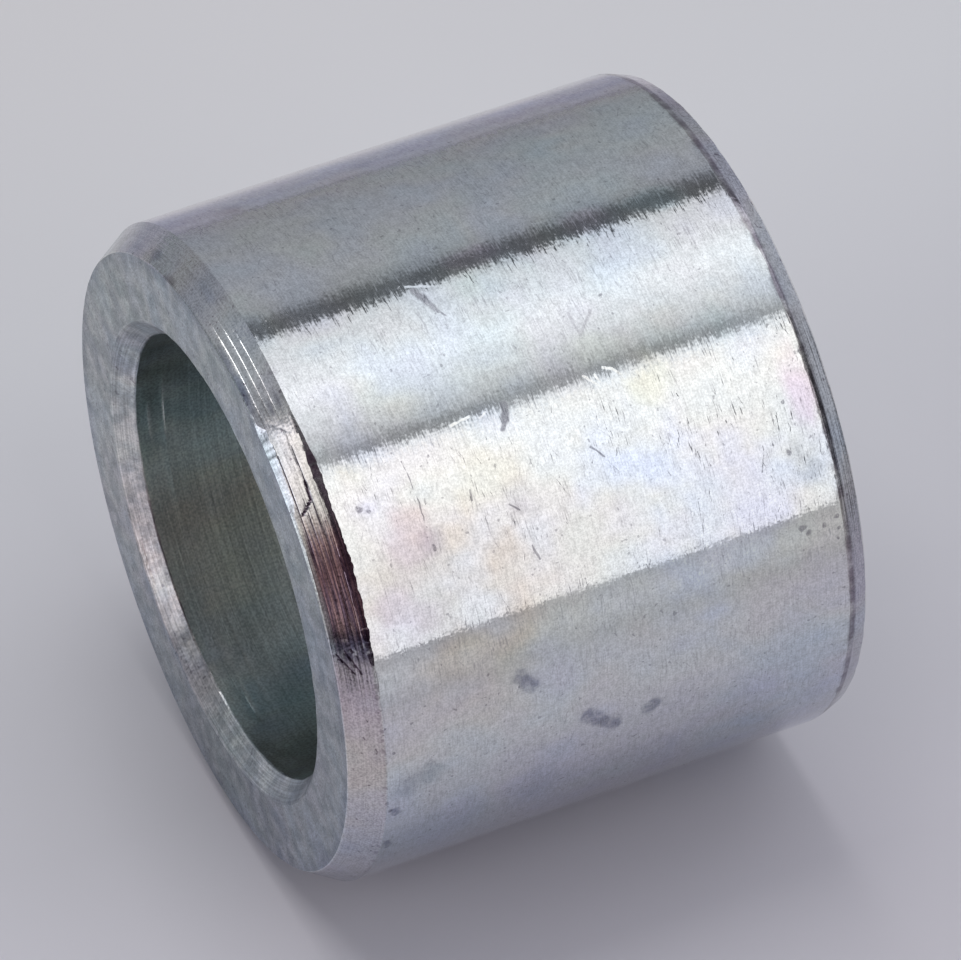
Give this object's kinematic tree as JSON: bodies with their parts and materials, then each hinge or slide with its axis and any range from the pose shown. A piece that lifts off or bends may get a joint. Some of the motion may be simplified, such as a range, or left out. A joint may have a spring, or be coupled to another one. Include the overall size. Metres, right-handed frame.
{
  "type": "spacer sleeve",
  "caption": "Plain turned steel spacer sleeve with a through bore, a chamfered outer rim at each end and a small chamfer at each bore mouth.",
  "frame": {"origin": "middle of the lower end face, on the bore's axis", "axes": "+Z along the sleeve's own axis, from the lower end (short outer chamfer) to the upper end (long outer chamfer)"},
  "size_m": [0.02, 0.02, 0.0162],
  "materials": {
    "zinc_plated_steel": "bright zinc plate over turned steel, with fine turning marks, light rubbing and small stains"
  },
  "bodies": {
    "root": {"sleeve": "zinc_plated_steel"}
  },
  "joints": []
}
